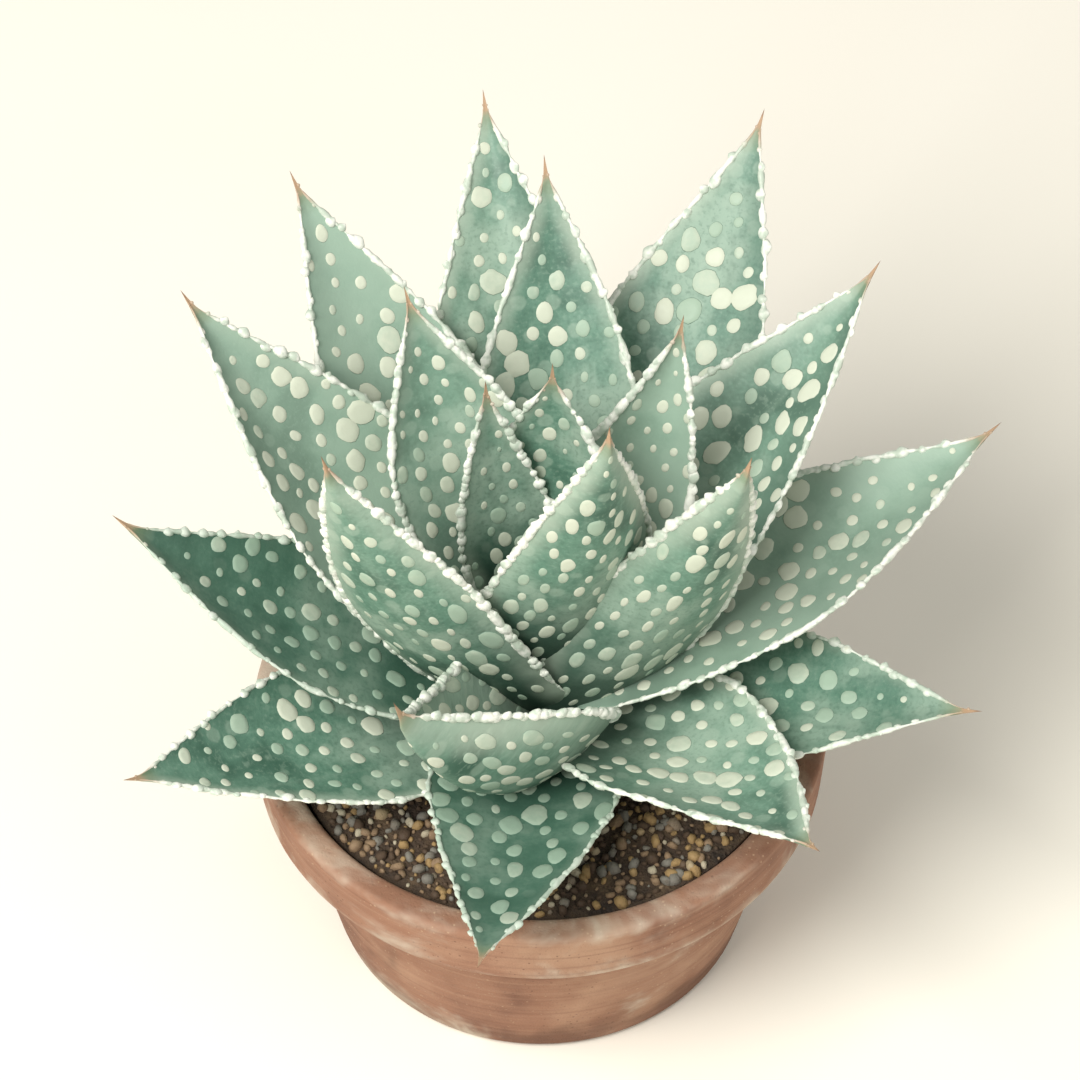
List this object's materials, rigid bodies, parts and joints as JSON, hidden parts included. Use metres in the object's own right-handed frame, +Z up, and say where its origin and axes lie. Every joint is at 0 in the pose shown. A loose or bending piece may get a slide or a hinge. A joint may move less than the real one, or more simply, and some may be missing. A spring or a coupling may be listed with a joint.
{
  "type": "potted aloe",
  "caption": "Spiny-edged spotted aloe rosette of thick pointed leaves on a short stem, growing in a plain round clay pan.",
  "frame": {"origin": "centre of the pot's underside, where it rests", "axes": "+Z up along the pot's axis, the viewer of the picture at -Y, +X to the viewer's right"},
  "size_m": [0.196, 0.1983, 0.183],
  "materials": {
    "leaf": "satin",
    "stem": "matte",
    "soil": "matte",
    "terracotta": "matte"
  },
  "bodies": {
    "root": {"pot": "terracotta", "soil": "soil", "stem": "stem", "leaf_01": "leaf", "leaf_02": "leaf", "leaf_03": "leaf", "leaf_04": "leaf", "leaf_05": "leaf", "leaf_06": "leaf", "leaf_07": "leaf", "leaf_08": "leaf", "leaf_09": "leaf", "leaf_10": "leaf", "leaf_11": "leaf", "leaf_12": "leaf", "leaf_13": "leaf", "leaf_14": "leaf", "leaf_15": "leaf", "leaf_16": "leaf", "leaf_17": "leaf", "leaf_18": "leaf", "leaf_19": "leaf", "leaf_20": "leaf", "leaf_21": "leaf", "leaf_22": "leaf", "leaf_23": "leaf", "leaf_24": "leaf"}
  },
  "joints": []
}
